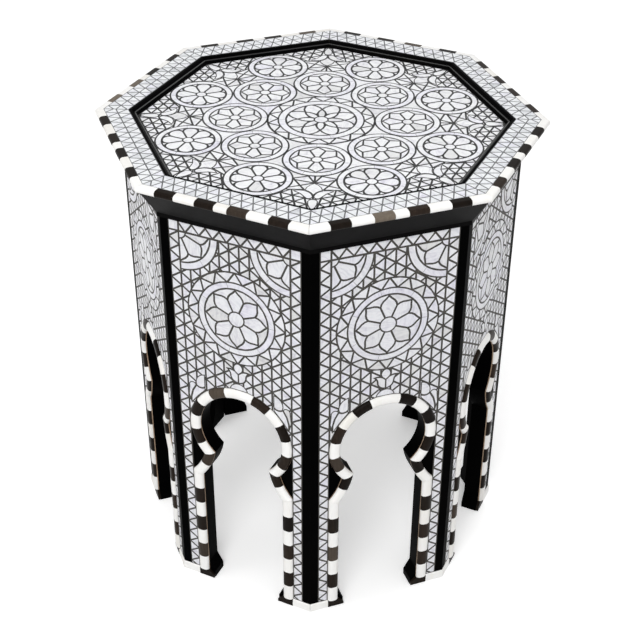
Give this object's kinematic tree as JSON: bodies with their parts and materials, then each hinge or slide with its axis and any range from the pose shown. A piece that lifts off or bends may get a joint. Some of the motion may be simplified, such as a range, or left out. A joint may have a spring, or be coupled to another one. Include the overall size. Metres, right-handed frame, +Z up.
{
  "type": "side table",
  "caption": "Octagonal wooden side table with a shallow tray top, pearl mosaic faces, striped bone trim and a horseshoe arch in every side.",
  "frame": {"origin": "on the floor under the middle of the table", "axes": "+Z up; one flat side faces -Y, so sides face the X and Y axes and their diagonals"},
  "size_m": [0.444, 0.444, 0.52],
  "materials": {
    "black_lacquer": "satin black lacquer",
    "plain_wood": "sawn, unfinished",
    "dark_wood": "polished dark hardwood",
    "bone": "polished bone",
    "pearl_panel": "polished shell in dark filler",
    "pearl_rim": "polished shell in grey filler",
    "pearl_field": "polished shell in dark filler",
    "nail_iron": "black iron"
  },
  "bodies": {
    "root": {"arch_bone": "bone", "arch_dark_wood": "dark_wood", "cleat_nails": "nail_iron", "corner_post_1": "black_lacquer", "corner_post_2": "black_lacquer", "corner_post_3": "black_lacquer", "corner_post_4": "black_lacquer", "corner_post_5": "black_lacquer", "corner_post_6": "black_lacquer", "corner_post_7": "black_lacquer", "corner_post_8": "black_lacquer", "cove_moulding_1": "black_lacquer", "cove_moulding_2": "black_lacquer", "cove_moulding_3": "black_lacquer", "cove_moulding_4": "black_lacquer", "cove_moulding_5": "black_lacquer", "cove_moulding_6": "black_lacquer", "cove_moulding_7": "black_lacquer", "cove_moulding_8": "black_lacquer", "edge_bone": "bone", "edge_dark_wood": "dark_wood", "field_mosaic": "pearl_field", "foot_bone": "bone", "foot_dark_wood": "dark_wood", "glue_blocks": "plain_wood", "panel_mosaic_1": "pearl_panel", "panel_mosaic_2": "pearl_panel", "panel_mosaic_3": "pearl_panel", "panel_mosaic_4": "pearl_panel", "panel_mosaic_5": "pearl_panel", "panel_mosaic_6": "pearl_panel", "panel_mosaic_7": "pearl_panel", "panel_mosaic_8": "pearl_panel", "rim_mosaic": "pearl_rim", "rim_rail_1": "plain_wood", "rim_rail_2": "plain_wood", "rim_rail_3": "plain_wood", "rim_rail_4": "plain_wood", "rim_rail_5": "plain_wood", "rim_rail_6": "plain_wood", "rim_rail_7": "plain_wood", "rim_rail_8": "plain_wood", "side_panel_1": "black_lacquer", "side_panel_2": "black_lacquer", "side_panel_3": "black_lacquer", "side_panel_4": "black_lacquer", "side_panel_5": "black_lacquer", "side_panel_6": "black_lacquer", "side_panel_7": "black_lacquer", "side_panel_8": "black_lacquer", "top_board": "plain_wood", "top_cleats": "plain_wood", "tray_moulding": "black_lacquer"}
  },
  "joints": []
}
